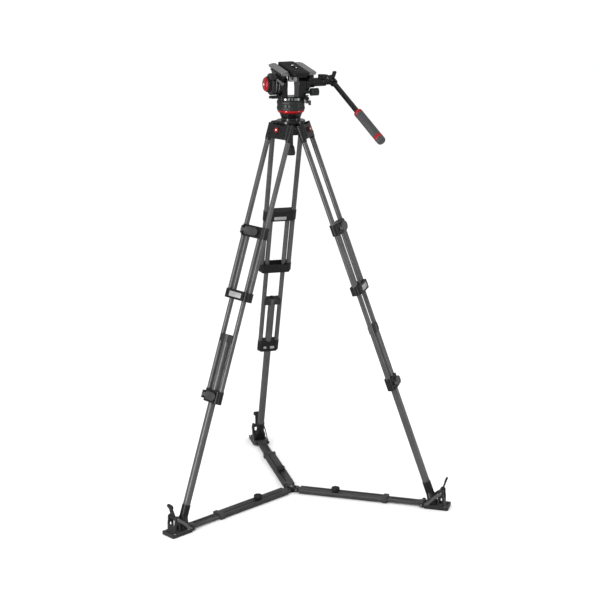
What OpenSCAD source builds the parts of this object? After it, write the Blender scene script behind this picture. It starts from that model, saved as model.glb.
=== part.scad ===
// Three-section twin-tube tripod with a ground spreader and a bridging fluid head.
// Millimetres. +Z up, +Y is the way the head faces, origin on the ground under the pan axis.

/* [Legs] */
// Angle of a leg from the vertical, degrees
leg_tilt = 19.93; // [19.5:0.01:20.4]
// Bearing of the front leg, degrees anticlockwise from +X
leg_bearing = 84.25; // [60:0.25:120]
// Height of the leg's reference point, level with the hinge
leg_top_z = 1497; // [1490:1:1500]
// Distance of that point from the pan axis
leg_top_r = 52.2; // [51:0.1:54]
// Half the distance between the two upper tubes
upper_y = 56; // [55:0.5:57]
// Outside radius of an upper tube
upper_r = 9.8; // [9:0.1:9.8]
// Half the distance between the two middle tubes
mid_y = 34.5; // [34:0.5:35]
// Outside radius of a middle tube
mid_r = 9.4; // [8.5:0.1:9.4]
// Outside radius of the lower tube
low_r = 14.5; // [13:0.1:14.5]

/* [Spreader] */
// Radius at which the arms are pinned to the hub
hub_pin_r = 24; // [24:0.5:26]
// Radius at which an arm is pinned to its foot plate
foot_pin_r = 545; // [540:1:548]
// Height of all the spreader pins
pin_z = 12; // [11.5:0.1:12.5]
// Width of an outer arm
arm_w = 46; // [45:1:50]
// Outer end of a foot plate
plate_end = 654; // [645:1:665]
// Width of a foot plate
plate_w = 69; // [66:1:74]

/* [Bowl and head] */
// Height of the bowl's rim, which is the centre of the half ball
bowl_z = 1525; // [1520:1:1530]
// Radius of the half ball
ball_r = 37.5; // [37:0.1:37.5]
// Height of the tilt axis
tilt_z = 1664; // [1662:1:1666]
// Height of the top of the sliding plate when the head is level
plate_z = 1732; // [1731:0.5:1734]
// How far the head leans back as it stands, degrees
rest_tilt = 7; // [0:0.5:10]
// Length of the sliding plate
slide_l = 190; // [150:1:196]
// Width of the sliding plate
slide_w = 62; // [56:1:66]
// Outside radius of the pan drag ring
drag_r = 54; // [52:0.5:54]

/* [Pan bar] */
// Angle of the bar below the horizontal, degrees
bar_drop = 28.4; // [26:0.2:32]
// Angle of the bar outwards from straight back, degrees
bar_out = 11.2; // [8:0.2:14]
// Radius of the bar
bar_r = 10.5; // [9:0.5:11]
// Length of the straight part of the bar, with its grip
bar_l = 392; // [340:1:420]

/* [Hidden] */
$fn = 64;
AZ = [leg_bearing, leg_bearing + 120, leg_bearing + 240];
carbon = [0.13, 0.13, 0.14];
casting = [0.07, 0.07, 0.075];
rubber = [0.10, 0.10, 0.10];
silver = [0.62, 0.63, 0.64];
red = [0.62, 0.03, 0.05];
grey = [0.30, 0.30, 0.31];

// leg frame: +Z up along the leg, +X away from the tripod's middle, +Y across the two tubes
module at_leg(k) rotate([0, 0, AZ[k]]) translate([leg_top_r, 0, leg_top_z]) rotate([0, -leg_tilt, 0]) children();
// arm frame: +X out along the arm
module at_arm(k) rotate([0, 0, AZ[k]]) children();
// rounded rectangle, w along x and h along y
module rr(w, h, r) {
  square([w - 2 * r, h], center = true);
  square([w, h - 2 * r], center = true);
  for (i = [-1, 1], j = [-1, 1]) translate([i * (w / 2 - r), j * (h / 2 - r)]) circle(r = r);
}
// box from corner a to corner b
module bx(a, b) translate(a) cube(b - a);
// cylinder along y from y0 to y1 at x, z
module cy(x, z, r, y0, y1) translate([x, y1, z]) rotate([90, 0, 0]) cylinder(r = r, h = y1 - y0);
// cylinder along x from x0 to x1 at y, z
module cx(y, z, r, x0, x1) translate([x0, y, z]) rotate([0, 90, 0]) cylinder(r = r, h = x1 - x0);

// positions down the leg, along its axis
u_top = -385; u_bot = -430;
e_top = -639; e_bot = -675;
l_top = -1030; l_bot = -1080;
hinge_x = -2.5;
// where the lock knob sits along an arm
knob_r = 186;

module upper_tubes(k) color(carbon) at_leg(k) for (s = [-1, 1]) translate([0, s * upper_y, e_bot + 4]) difference() {
  cylinder(r = upper_r, h = -e_bot + 4);
  translate([0, 0, -1]) cylinder(r = upper_r - 1.3, h = -e_bot + 6);
}

module upper_castings(k) color(casting) at_leg(k) {
  // yoke: two sockets, a pocket for the bowl's lug, and the hinge pin across it
  difference() {
    union() {
      translate([0, 0, -42]) linear_extrude(58) {
        for (s = [-1, 1]) translate([0, s * upper_y]) circle(r = 12);
        translate([-12, -upper_y]) square([24, 2 * upper_y]);
        translate([4, 0]) rr(22, 104, 8);
      }
      for (s = [-1, 1]) translate([0, s * upper_y, -52]) cylinder(r1 = 10.6, r2 = 12, h = 10);
      translate([14, 0, -12]) rotate([0, 90, 0]) cylinder(r = 10, h = 8);
    }
    for (s = [-1, 1]) translate([0, s * upper_y, -53]) cylinder(r = upper_r + 0.05, h = 61.1);
    bx([-30, -32.6, -24], [9.6, 32.6, 30]);
    bx([-30, -32.6, 9], [30, 32.6, 30]);
  }
  cy(hinge_x, 0, 5, -40, 40);
  // end collar: a frame that closes the upper tubes and lets the inner ones through
  difference() {
    translate([0, 0, e_bot]) linear_extrude(e_top - e_bot) union() {
      rr(44, 120, 10);
      for (s = [-1, 1]) translate([0, s * upper_y]) circle(r = 11.6);
    }
    for (s = [-1, 1]) translate([0, s * upper_y, e_bot + 3.9]) cylinder(r = upper_r + 0.05, h = 60);
    bx([-15.2, -45.4, e_bot - 1], [15.2, 45.4, e_top + 1]);
  }
}

module mid_tubes(k) color(carbon) at_leg(k) for (s = [-1, 1]) translate([0, s * mid_y, l_bot + 8]) difference() {
  cylinder(r = mid_r, h = u_top - l_bot - 15);
  translate([0, 0, -1]) cylinder(r = mid_r - 1.2, h = u_top - l_bot);
}

// fixed knuckles and pin of a flip lever, on a boss that stands off the collar's outer face
module lever_seat(x, y, zc) {
  for (s = [-1, 1]) translate([x, y, zc + s * 11.2 - 3.8]) cylinder(r = 5.5, h = 7.6);
  translate([x, y, zc - 12]) cylinder(r = 2.5, h = 24);
  for (s = [-1, 1]) bx([14, y - 5.5, zc + s * 11.2 - 3.8], [x, y + 5.5, zc + s * 11.2 + 3.8]);
}

module mid_castings(k) color(casting) at_leg(k) {
  difference() {
    union() {
      translate([0, 0, u_bot]) linear_extrude(u_top - u_bot) union() {
        rr(34, 118, 8);
        for (s = [-1, 1]) translate([0, s * upper_y]) circle(r = 12.2);
      }
      lever_seat(24.5, -48, (u_top + u_bot) / 2);
    }
    for (s = [-1, 1]) {
      translate([0, s * upper_y, u_bot - 1]) cylinder(r = upper_r + 0.3, h = 60);
      translate([0, s * mid_y, u_bot - 1]) cylinder(r = mid_r + 0.05, h = u_top - u_bot - 5.9);
    }
  }
  difference() {
    union() {
      translate([0, 0, l_bot]) linear_extrude(l_top - l_bot) union() {
        rr(36, 76, 9);
        for (s = [-1, 1]) translate([0, s * mid_y]) circle(r = 11);
      }
      lever_seat(25.5, -34, (l_top + l_bot) / 2);
    }
    for (s = [-1, 1]) translate([0, s * mid_y, l_bot + 7.9]) cylinder(r = mid_r + 0.05, h = 60);
    translate([0, 0, l_bot - 1]) cylinder(r = low_r + 0.3, h = 60);
  }
}

// flip lever: knuckle at x, y and an oval plate of half height h that reaches along +y
module flip(x, y, zc, l, h) difference() {
  union() {
    translate([x, y, zc - 7]) cylinder(r = 5.5, h = 14);
    bx([x - 3, y, zc - 7], [x + 3, y + 16, zc + 7]);
    translate([x - 3.4, y + 12 + h, zc]) rotate([0, 90, 0]) linear_extrude(7) union() {
      circle(r = h);
      translate([0, l - 12 - 2 * h]) circle(r = h);
      translate([-h, 0]) square([2 * h, l - 12 - 2 * h]);
    }
  }
  translate([x, y, zc - 8]) cylinder(r = 2.56, h = 16);
}
module upper_lever(k) color(rubber) at_leg(k) flip(24.5, -48, (u_top + u_bot) / 2, 84, 15);
module lower_lever(k) color(rubber) at_leg(k) flip(25.5, -34, (l_top + l_bot) / 2, 66, 16);

module lower_tube(k) color(carbon) at_leg(k) {
  difference() {
    translate([0, 0, -1512]) cylinder(r = low_r, h = 700);
    translate([0, 0, -1513]) cylinder(r = low_r - 1.6, h = 698);
  }
  // guide bonded round its top, which runs between the middle tubes
  difference() {
    bx([-13.4, -mid_y, -842], [13.4, mid_y, -812]);
    for (s = [-1, 1]) translate([0, s * mid_y, -850]) cylinder(r = mid_r + 0.3, h = 60);
    translate([0, 0, -850]) cylinder(r = low_r + 0.05, h = 60);
  }
}

module spiked_foot(k) color(casting) difference() {
  at_leg(k) difference() {
    union() {
      translate([0, 0, -1532]) cylinder(r = 16.5, h = 50);
      intersection() {
        union() {
          translate([0, 0, -1548]) cylinder(r1 = 24, r2 = 16.5, h = 20);
          translate([0, 0, -1600]) cylinder(r = 24, h = 52);
        }
        bx([-14, -30, -1600], [14, 30, -1520]);
      }
    }
    translate([0, 0, -1512.1]) cylinder(r = low_r + 0.05, h = 60);
    bx([-30, -4.5, -1620], [30, 4.5, -1556]);
  }
  translate([0, 0, -200]) cylinder(r = 900, h = 213.4);
}

module spreader_hub() color(casting) {
  difference() {
    union() {
      translate([0, 0, 3]) cylinder(r = 19, h = 18);
      cylinder(r = 16.5, h = 3);
      for (k = [0 : 2]) at_arm(k) for (s = [-1, 1]) {
        cy(hub_pin_r, pin_z, 8.5, s > 0 ? 9.6 : -14.6, s > 0 ? 14.6 : -9.6);
        bx([8, s > 0 ? 9.6 : -14.6, pin_z - 8.5], [hub_pin_r, s > 0 ? 14.6 : -9.6, pin_z + 8.5]);
      }
    }
    for (k = [0 : 2]) at_arm(k) bx([14.4, -9.6, -1], [40, 9.6, 30]);
  }
  for (k = [0 : 2]) at_arm(k) cy(hub_pin_r, pin_z, 3.5, -16, 16);
}

module outer_arm(k) color(grey) at_arm(k) difference() {
  union() {
    cy(hub_pin_r, pin_z, 8.5, -9.2, 9.2);
    bx([hub_pin_r, -9.2, pin_z - 7], [42, 9.2, pin_z + 7]);
    translate([218, 0, 3]) linear_extrude(16) rr(364, arm_w, 3);
    translate([393, 0, 1]) linear_extrude(21) rr(22, arm_w + 6, 4);
  }
  cy(hub_pin_r, pin_z, 3.55, -12, 12);
  bx([40, -18.6, 5.5], [420, 18.6, 16.5]);
  bx([60, 6, 15], [376, 11, 22]);
  translate([knob_r, 0, 10]) cylinder(r = 4.1, h = 20);
}

module inner_arm(k) color(grey) at_arm(k) difference() {
  union() {
    bx([192, -18.3, 5.8], [530, 18.3, 16.2]);
    bx([529, -17.4, 5.8], [foot_pin_r, 17.4, 18]);
    cy(foot_pin_r, pin_z, 8.5, -17.4, 17.4);
  }
  cy(foot_pin_r, pin_z, 4.05, -20, 20);
  bx([420, -10, 13.4], [520, 10, 20]);
}

module arm_knob(k) color(casting) at_arm(k) translate([knob_r, 0, 0]) {
  translate([0, 0, 16.6]) cylinder(r = 4, h = 6);
  translate([0, 0, 19.4]) cylinder(r = 9, h = 3);
  translate([0, 0, 22]) difference() {
    cylinder(r = 17, h = 15);
    for (i = [0 : 7]) rotate([0, 0, i * 45]) translate([19.5, 0, -1]) cylinder(r = 4.5, h = 20);
  }
}

bracket_x = 622;
module foot_plate(k) color(rubber) at_arm(k) {
  difference() {
    union() {
      translate([(556 + plate_end) / 2, 0, 0]) linear_extrude(13) rr(plate_end - 556, plate_w, 5);
      for (s = [-1, 1]) {
        cy(foot_pin_r, pin_z, 8.5, s > 0 ? 18 : -31, s > 0 ? 31 : -18);
        bx([foot_pin_r, s > 0 ? 18 : -31, pin_z - 8.5], [562, s > 0 ? 31 : -18, pin_z + 1]);
        cy(bracket_x, 68, 11, s > 0 ? 16.5 : -23.5, s > 0 ? 23.5 : -16.5);
        bx([bracket_x - 13, s > 0 ? 16.5 : -23.5, 12], [bracket_x + 13, s > 0 ? 23.5 : -16.5, 58]);
        bx([bracket_x - 11, s > 0 ? 16.5 : -23.5, 57], [bracket_x + 11, s > 0 ? 23.5 : -16.5, 68]);
      }
      bx([bracket_x + 6, -17, 12], [bracket_x + 13, 17, 40]);
    }
    bx([bracket_x + 18, -26, 10], [plate_end - 5, 26, 20]);
  }
  cy(foot_pin_r, pin_z, 4, -34, 34);
  cy(bracket_x, 68, 4, -25.5, 25.5);
}

module foot_lever(k) color(rubber) at_arm(k) difference() {
  union() {
    cy(bracket_x, 68, 8, -16, 16);
    translate([bracket_x, 0, 68]) rotate([0, 18, 0]) {
      bx([-3.5, -11, 0], [3.5, 11, 52]);
      translate([-4, 0, 52]) rotate([0, 90, 0]) linear_extrude(8) rr(18, 30, 6);
      bx([-14, -9, -5], [-4, 9, 3]);
    }
  }
  cy(bracket_x, 68, 4.06, -20, 20);
}

// hinge of each leg, in the upright plane of that leg
hx = leg_top_r + hinge_x * cos(leg_tilt);
hz = leg_top_z + hinge_x * sin(leg_tilt);

module bowl_casting() color(casting) difference() {
  union() {
    translate([0, 0, bowl_z - 12]) cylinder(r = 55, h = 12);
    intersection() {
      translate([0, 0, bowl_z]) sphere(r = ball_r + 7);
      translate([0, 0, bowl_z - 36]) cylinder(r = 60, h = 36);
    }
    for (k = [0 : 2]) at_arm(k) {
      cy(hx, hz, 11, -32, 32);
      bx([34, -32, hz - 9], [hx, 32, bowl_z - 11]);
    }
  }
  translate([0, 0, bowl_z]) sphere(r = ball_r + 0.3);
  translate([0, 0, bowl_z - 60]) cylinder(r = 16, h = 40);
  for (k = [0 : 2]) at_arm(k) cy(hx, hz, 5.06, -40, 40);
}

module half_ball() color(casting) {
  intersection() {
    translate([0, 0, bowl_z]) sphere(r = ball_r);
    translate([0, 0, bowl_z - 34]) cylinder(r = 60, h = 42.4);
  }
  translate([0, 0, bowl_z + 8.4]) cylinder(r1 = 37.2, r2 = 44.5, h = 20.6);
  translate([0, 0, 1416]) cylinder(r = 6, h = bowl_z - 30 - 1416);
}

module tie_down_knob() color(casting) difference() {
  union() {
    translate([0, 0, 1468]) cylinder(r1 = 13, r2 = 24, h = 19);
    translate([0, 0, 1424]) cylinder(r = 9, h = 46);
    translate([0, 0, 1388]) difference() {
      union() {
        cylinder(r1 = 15.5, r2 = 17, h = 6);
        translate([0, 0, 6]) cylinder(r1 = 17, r2 = 13, h = 30);
      }
      for (i = [0 : 7]) rotate([0, 0, i * 45]) translate([19, 0, -1]) cylinder(r = 4, h = 40);
    }
  }
  translate([0, 0, bowl_z]) sphere(r = ball_r + 7.4);
  translate([0, 0, 1410]) cylinder(r = 6.06, h = 90);
}

module head_base() {
  color(casting) {
    translate([0, 0, 1554]) cylinder(r = 44, h = 10.5);
    translate([0, 0, 1564.5]) cylinder(r = 39.6, h = 37);
    translate([0, 0, 1601.5]) cylinder(r = 12, h = 9);
  }
  color(red) rotate_extrude() polygon([[44, 1554], [48, 1554], [51.8, 1559.5], [51.8, 1564.5], [44, 1564.5]]);
}

module pan_drag_ring() color(grey) translate([0, 0, 1565]) difference() {
  union() {
    cylinder(r = drag_r - 1.2, h = 35.5);
    translate([0, 0, 2]) cylinder(r = drag_r, h = 9);
    translate([0, 0, 24]) cylinder(r = drag_r, h = 9);
  }
  translate([0, 0, -1]) cylinder(r = 40, h = 40);
  for (i = [0 : 11]) rotate([0, 0, i * 30]) translate([drag_r + 2.2, 0, 12]) cylinder(r = 5, h = 11);
}

// one cheek of the pan body, from x0 to x1
module cheek(x0, x1, r, w) {
  cx(0, tilt_z, r, x0, x1);
  bx([x0, -w, 1608], [x1, w, tilt_z]);
}
module pan_body() {
  color(casting) difference() {
    union() {
      translate([0, 0, 1602]) cylinder(r = 50, h = 11);
      cheek(-46, -24, 36, 33);
      cheek(23, 52, 31, 27);
      bx([-46, -33, 1604], [52, 27, 1616]);
      cx(-22, 1630, 6.5, 40, 71);
      bx([36, -46, 1604], [58, -26, 1614]);
      bx([-84, -24, 1611], [-44, 0, 1621]);
      cx(-12, 1616, 5, -92, -84);
    }
    translate([0, 0, 1600]) cylinder(r = 12.08, h = 11);
    cx(0, tilt_z, 12.05, -47, -26);
    cx(0, tilt_z, 12.05, 25, 53);
    cx(-22, 1630, 4.06, 50, 80);
    translate([51, -38, 1600]) cylinder(r = 3.56, h = 20);
  }
}

module pan_lock_lever() color(silver) {
  translate([51, -38, 1595]) cylinder(r = 3.5, h = 22);
  translate([51, -38, 1616.5]) cylinder(r = 7, h = 4.5);
  translate([51, -38, 1590]) cylinder(r = 6, h = 13);
  translate([51, -38, 0]) rotate([0, 0, -52]) {
    bx([0, -5, 1590], [13, 5, 1597]);
    translate([13, 0, 1584]) cylinder(r = 5, h = 18);
  }
}

// everything that tilts is drawn level and then leans back about the tilt axis
module tilted() translate([0, 0, tilt_z]) rotate([rest_tilt, 0, 0]) translate([0, 0, -tilt_z]) children();
deck_z = plate_z - 25;

// side arm of the bridge from x0 to x1: round at the axle, widening up to the deck
module bridge_arm(x0, x1, r, w) {
  cx(0, tilt_z, r, x0, x1);
  bx([x0, -r + 2, tilt_z], [x1, r - 2, deck_z + 1]);
  translate([x0, 0, 0]) rotate([90, 0, 90]) linear_extrude(x1 - x0)
    polygon([[-w, deck_z + 1], [-w, deck_z - 5], [-30, tilt_z + 12], [30, tilt_z + 12], [w - 6, deck_z - 5], [w - 6, deck_z + 1]]);
}
module tilt_cradle() tilted() {
  color(casting) difference() {
    union() {
      // left arm with its axle and the drag housing, then the right arm with its axle and rosette
      bridge_arm(-60, -46.5, 42, 68);
      cx(0, tilt_z, 12, -47, -28);
      cx(0, tilt_z, 41.5, -71.4, -60);
      bridge_arm(52.6, 67, 33, 68);
      cx(0, tilt_z, 12, 28, 53);
      cx(0, tilt_z, 21, 67, 78);
      // deck and its two rails
      translate([0, -3, deck_z - 1]) linear_extrude(8) rr(76, 150, 8);
      bx([-66, -60, deck_z - 1], [67, 56, deck_z + 4]);
      for (s = [-1, 1]) bx([s > 0 ? 20.6 : -33, -72, deck_z + 6], [s > 0 ? 33 : -20.6, 66, deck_z + 13.6]);
      // boss of the plate lock and the button's housing
      bx([-60, -45, deck_z - 16], [-47, -31, deck_z]);
      bx([-36, -78, deck_z - 17], [-6, -60, deck_z]);
      bx([-12, -26, deck_z - 20], [18, 26, deck_z]);
    }
    cx(-38, deck_z - 8, 3.56, -70, -40);
    translate([-23, -79, deck_z - 5.5]) rotate([-90, 0, 0]) cylinder(r = 4.3, h = 14);
    cy(-53, 1676, 3.56, -60, -29);
  }
  // fixed pivots of the dials and of the pan bar's clamp
  color(silver) cx(0, tilt_z, 7, -96, -71.4);
  color(silver) cx(0, tilt_z, 7, 78, 118);
}

// silver covers along both sides of the bridge, w wide in all
module cover(w) translate([0, 74, 0]) rotate([90, 0, 0]) linear_extrude(150)
  polygon([[38.4, deck_z + 4.3], [w - 5, deck_z + 4.3], [w, deck_z + 12], [w, deck_z + 15.5], [w - 15, deck_z + 20], [38.4, deck_z + 20]]);
module bridge_wedges() color(silver) tilted() {
  mirror([1, 0, 0]) cover(67);
  cover(74);
}

module dial(x0, x1, r, n, g) difference() {
  cx(0, tilt_z, r, x0, x1);
  cx(0, tilt_z, 7.06, x0 - 1, x1 + 1);
  for (i = [0 : n - 1]) translate([x0 - 1, 0, tilt_z]) rotate([i * 360 / n, 0, 0]) translate([0, r + g * 0.45, 0]) rotate([0, 90, 0]) cylinder(r = g, h = x1 - x0 + 2);
}
module tilt_drag_dial() color(grey) dial(-86, -72, 41.5, 12, 4);

module counterbalance_dial() {
  color(casting) dial(-99, -86.6, 30, 16, 3);
  color(red) cx(0, tilt_z, 27, -110, -99);
}

module tilt_lock_lever() color(silver) tilted() {
  cy(-53, 1676, 3.5, -50, -31);
  cy(-53, 1676, 6.5, -53, -47);
  translate([-53, -50, 1676]) rotate([0, -50, 0]) {
    bx([-4, -3, 0], [4, 3, 24]);
    translate([0, 3, 24]) rotate([90, 0, 0]) cylinder(r = 5, h = 6);
  }
}

module tilt_lock_knob() color(casting) {
  cx(-22, 1630, 4, 52, 74);
  difference() {
    cx(-22, 1630, 14.5, 72, 103);
    for (i = [0 : 8]) translate([82, -22, 1630]) rotate([i * 40, 0, 0]) translate([0, 16.6, 0]) rotate([0, 90, 0]) cylinder(r = 3.6, h = 24);
  }
}

// the plate stands a little back of the axis; its screws stand at y = stud_y
plate_y = -25;
stud_y = [-52, -12];
module sliding_plate() color(casting) tilted() difference() {
  union() {
    translate([0, plate_y, deck_z + 7.3]) linear_extrude(8) square([40.6, slide_l - 6], center = true);
    translate([0, plate_y, deck_z + 14]) linear_extrude(11) rr(slide_w, slide_l, 6);
  }
  for (y = stud_y) {
    translate([0, y, 1700]) cylinder(r = 3.4, h = 60);
    translate([0, y, 1700]) cylinder(r = 8.4, h = deck_z + 14.2 - 1700);
  }
  translate([0, stud_y[1], 1700]) cylinder(r = 5.1, h = 60);
  bx([-3.4, stud_y[0], 1700], [3.4, stud_y[1], 1750]);
  bx([-8.4, stud_y[0], 1700], [8.4, stud_y[1], deck_z + 14.2]);
}

// one screw of each camera thread, standing in the plate's slot
module camera_studs() color(silver) tilted() {
  for (y = stud_y) {
    translate([0, y, deck_z + 8.3]) cylinder(r = 7.6, h = 5.8);
    translate([0, y, deck_z + 14]) cylinder(r = 2.9, h = 11.3);
  }
  translate([0, stud_y[0], plate_z + 0.3]) cylinder(r = 3.175, h = 6);
  translate([0, stud_y[1], plate_z + 0.3]) cylinder(r = 4.76, h = 6.2);
}

module plate_lock_knob() color(grey) tilted() {
  cx(-38, deck_z - 8, 3.5, -76, -49);
  difference() {
    cx(-38, deck_z - 8, 9, -97, -75);
    for (i = [0 : 9]) translate([-94, -38, deck_z - 8]) rotate([i * 36, 0, 0]) translate([0, 10.2, 0]) rotate([0, 90, 0]) cylinder(r = 2.1, h = 15);
  }
}

module release_button() color(grey) tilted() translate([-23, -82, deck_z - 5.5]) rotate([-90, 0, 0]) cylinder(r = 4, h = 10);

// pan bar: leaves the clamp's sleeve and runs back, out and down
clamp_c = [158, -25, tilt_z + 6];
module at_bar() translate(clamp_c) rotate([0, 0, bar_out - 90]) rotate([0, 90 + bar_drop, 0]) children();
module pan_bar_clamp() color(casting) difference() {
  union() {
    cx(0, tilt_z, 20, 78.6, 92);
    cx(0, tilt_z, 16.5, 91, 140);
    bx([128, -24, tilt_z - 9], [156, 2, tilt_z + 16]);
    at_bar() translate([0, 0, -18]) cylinder(r = 15.5, h = 36);
    translate([122, 0, tilt_z + 12]) cylinder(r = 11, h = 17);
  }
  cx(0, tilt_z, 7.06, 78, 119);
  at_bar() translate([0, 0, -14]) cylinder(r = bar_r + 0.05, h = 60);
  at_bar() rotate([0, -90, 0]) cylinder(r = 3.06, h = 40);
}

// wing lever that closes the sleeve on the bar
module clamp_lever() color(casting) at_bar() rotate([0, -90, 0]) {
  translate([0, 0, bar_r + 0.4]) cylinder(r = 3, h = 8);
  translate([0, 0, 16]) cylinder(r = 7, h = 6);
  difference() {
    translate([-4, -7, 20]) cube([8, 14, 22]);
    translate([0, 0, 30]) rotate([0, 90, 0]) translate([0, 0, -5]) cylinder(r = 2.5, h = 1.5);
  }
}

module pan_bar_and_grip() {
  color(carbon) at_bar() translate([0, 0, -13.9]) cylinder(r = bar_r, h = 278);
  color(rubber) at_bar() translate([0, 0, bar_l * 0.53]) difference() {
    union() {
      cylinder(r = 17.5, h = bar_l * 0.47 - 10);
      translate([0, 0, bar_l * 0.47 - 10]) cylinder(r1 = 17.5, r2 = 11, h = 10);
    }
    translate([0, 0, -1]) cylinder(r = bar_r - 0.4, h = 8);
  }
}

bowl_casting();
half_ball();
tie_down_knob();
head_base();
pan_drag_ring();
pan_body();
pan_lock_lever();
tilt_cradle();
bridge_wedges();
tilt_drag_dial();
counterbalance_dial();
tilt_lock_lever();
tilt_lock_knob();
sliding_plate();
camera_studs();
plate_lock_knob();
release_button();
pan_bar_clamp();
clamp_lever();
pan_bar_and_grip();
spreader_hub();
upper_tubes(0);  // upper_tubes_a
upper_castings(0);  // upper_castings_a
mid_tubes(0);  // mid_tubes_a
mid_castings(0);  // mid_castings_a
lower_tube(0);  // lower_tube_a
spiked_foot(0);  // spiked_foot_a
upper_lever(0);  // upper_lever_a
lower_lever(0);  // lower_lever_a
outer_arm(0);  // outer_arm_a
inner_arm(0);  // inner_arm_a
arm_knob(0);  // arm_knob_a
foot_plate(0);  // foot_plate_a
foot_lever(0);  // foot_lever_a
upper_tubes(1);  // upper_tubes_b
upper_castings(1);  // upper_castings_b
mid_tubes(1);  // mid_tubes_b
mid_castings(1);  // mid_castings_b
lower_tube(1);  // lower_tube_b
spiked_foot(1);  // spiked_foot_b
upper_lever(1);  // upper_lever_b
lower_lever(1);  // lower_lever_b
outer_arm(1);  // outer_arm_b
inner_arm(1);  // inner_arm_b
arm_knob(1);  // arm_knob_b
foot_plate(1);  // foot_plate_b
foot_lever(1);  // foot_lever_b
upper_tubes(2);  // upper_tubes_c
upper_castings(2);  // upper_castings_c
mid_tubes(2);  // mid_tubes_c
mid_castings(2);  // mid_castings_c
lower_tube(2);  // lower_tube_c
spiked_foot(2);  // spiked_foot_c
upper_lever(2);  // upper_lever_c
lower_lever(2);  // lower_lever_c
outer_arm(2);  // outer_arm_c
inner_arm(2);  // inner_arm_c
arm_knob(2);  // arm_knob_c
foot_plate(2);  // foot_plate_c
foot_lever(2);  // foot_lever_c
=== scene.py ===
import bpy
import bmesh
import math
from mathutils import Matrix, Vector


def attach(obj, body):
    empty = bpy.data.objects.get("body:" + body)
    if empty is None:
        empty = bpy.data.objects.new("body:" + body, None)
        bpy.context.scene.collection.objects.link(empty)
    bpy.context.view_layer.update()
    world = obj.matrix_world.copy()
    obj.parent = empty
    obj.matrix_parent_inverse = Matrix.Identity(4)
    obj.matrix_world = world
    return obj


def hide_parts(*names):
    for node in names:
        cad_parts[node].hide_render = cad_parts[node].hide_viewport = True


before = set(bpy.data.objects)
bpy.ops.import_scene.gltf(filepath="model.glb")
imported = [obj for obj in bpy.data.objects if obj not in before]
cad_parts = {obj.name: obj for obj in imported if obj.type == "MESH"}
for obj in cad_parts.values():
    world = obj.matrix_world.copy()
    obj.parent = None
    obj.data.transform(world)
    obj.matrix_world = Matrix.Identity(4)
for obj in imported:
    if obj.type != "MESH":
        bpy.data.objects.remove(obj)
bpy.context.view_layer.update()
scene = bpy.context.scene
rad = math.radians

# ---------------------------------------------------------------- camera, floor, light
cam_data = bpy.data.cameras.new("camera")
cam = bpy.data.objects.new("camera", cam_data)
scene.collection.objects.link(cam)
cam.location = (-1.98852, -5.56573, 2.4152)
cam.rotation_euler = (rad(74.7942), 0, rad(-20))
cam_data.sensor_width = 36
cam_data.lens = 93.0
cam_data.dof.use_dof = False
scene.camera = cam

world = bpy.data.worlds.new("studio")
scene.world = world
world.use_nodes = True
wn = world.node_tree
bg = wn.nodes["Background"]
bg.inputs[0].default_value = (1.0, 1.0, 1.0, 1)
lp = wn.nodes.new("ShaderNodeLightPath")
dim = wn.nodes.new("ShaderNodeMath")
dim.operation = "MULTIPLY_ADD"
dim.inputs[1].default_value = -0.78
dim.inputs[2].default_value = 1.1
wn.links.new(lp.outputs["Is Glossy Ray"], dim.inputs[0])
wn.links.new(dim.outputs[0], bg.inputs[1])
scene.view_settings.view_transform = "Standard"
scene.view_settings.look = "None"


def area(name, loc, target, size, power, size_y=None):
    d = bpy.data.lights.new(name, "AREA")
    d.energy = power
    d.shape = "RECTANGLE"
    d.size = size
    d.size_y = size_y or size
    o = bpy.data.objects.new(name, d)
    scene.collection.objects.link(o)
    o.location = loc
    o.rotation_euler = (Vector(target) - Vector(loc)).to_track_quat("-Z", "Y").to_euler()
    return o


area("key", (-3.0, -1.7, 1.1), (0, 0, 1.0), 0.75, 62, 2.6)
area("fill", (3.3, -2.4, 1.2), (0, 0, 1.0), 0.35, 16, 2.2)
area("top", (-1.6, -2.8, 3.6), (0, 0, 1.4), 1.0, 22)
area("rim", (2.9, 2.2, 1.3), (0, 0, 1.2), 0.5, 22, 2.2).visible_glossy = False

# ---------------------------------------------------------------- materials


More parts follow.
